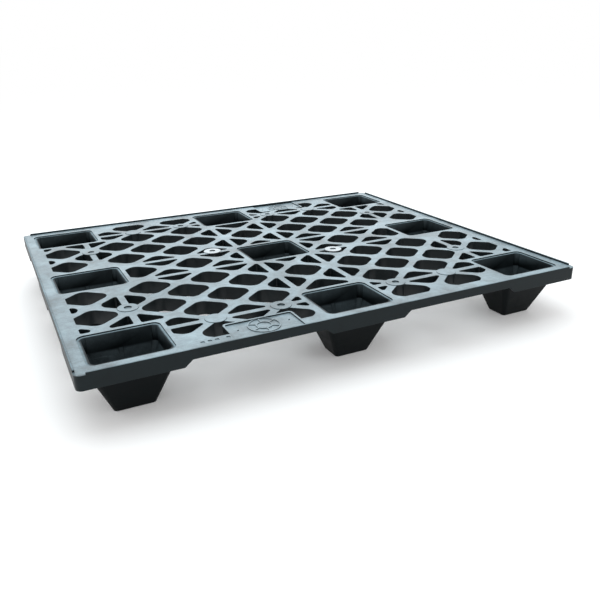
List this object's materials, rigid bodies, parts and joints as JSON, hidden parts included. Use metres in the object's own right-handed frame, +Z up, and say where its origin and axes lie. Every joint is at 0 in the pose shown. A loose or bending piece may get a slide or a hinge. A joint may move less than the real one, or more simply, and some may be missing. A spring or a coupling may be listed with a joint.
{
  "type": "plastic pallet",
  "caption": "Nestable black plastic pallet: an open diamond-lattice deck with a low lip, shallow skirts and hollow tapered legs",
  "frame": {"origin": "on the ground under the middle of the pallet", "axes": "+X along the length, +Y across the width towards the back, +Z up from the feet to the deck"},
  "size_m": [1.2, 1, 0.132],
  "materials": {
    "deck_plastic": "satin",
    "edge_plastic": "satin",
    "leg_plastic": "satin"
  },
  "bodies": {
    "root": {"deck_back_centre": "deck_plastic", "deck_back_field_centre": "deck_plastic", "deck_back_field_left": "deck_plastic", "deck_back_field_left_bay": "deck_plastic", "deck_back_field_right": "deck_plastic", "deck_back_field_right_bay": "deck_plastic", "deck_back_left": "deck_plastic", "deck_back_left_bay": "deck_plastic", "deck_back_right": "deck_plastic", "deck_back_right_bay": "deck_plastic", "deck_front_centre": "deck_plastic", "deck_front_field_centre": "deck_plastic", "deck_front_field_left": "deck_plastic", "deck_front_field_left_bay": "deck_plastic", "deck_front_field_right": "deck_plastic", "deck_front_field_right_bay": "deck_plastic", "deck_front_left": "deck_plastic", "deck_front_left_bay": "deck_plastic", "deck_front_right": "deck_plastic", "deck_front_right_bay": "deck_plastic", "deck_middle_left": "deck_plastic", "deck_middle_left_bay": "deck_plastic", "deck_middle_right": "deck_plastic", "deck_middle_right_bay": "deck_plastic", "dimple_pads": "deck_plastic", "label_plate_back": "deck_plastic", "label_plate_front": "deck_plastic", "leg_back_centre": "leg_plastic", "leg_back_left": "leg_plastic", "leg_back_right": "leg_plastic", "leg_front_centre": "leg_plastic", "leg_front_left": "leg_plastic", "leg_front_right": "leg_plastic", "leg_middle_centre": "leg_plastic", "leg_middle_left": "leg_plastic", "leg_middle_right": "leg_plastic", "lip_back": "edge_plastic", "lip_front": "edge_plastic", "lip_left": "edge_plastic", "lip_right": "edge_plastic", "plain_pads": "deck_plastic", "ring_pads": "deck_plastic", "skirt_back": "edge_plastic", "skirt_front": "edge_plastic", "skirt_left": "edge_plastic", "skirt_right": "edge_plastic"}
  },
  "joints": []
}
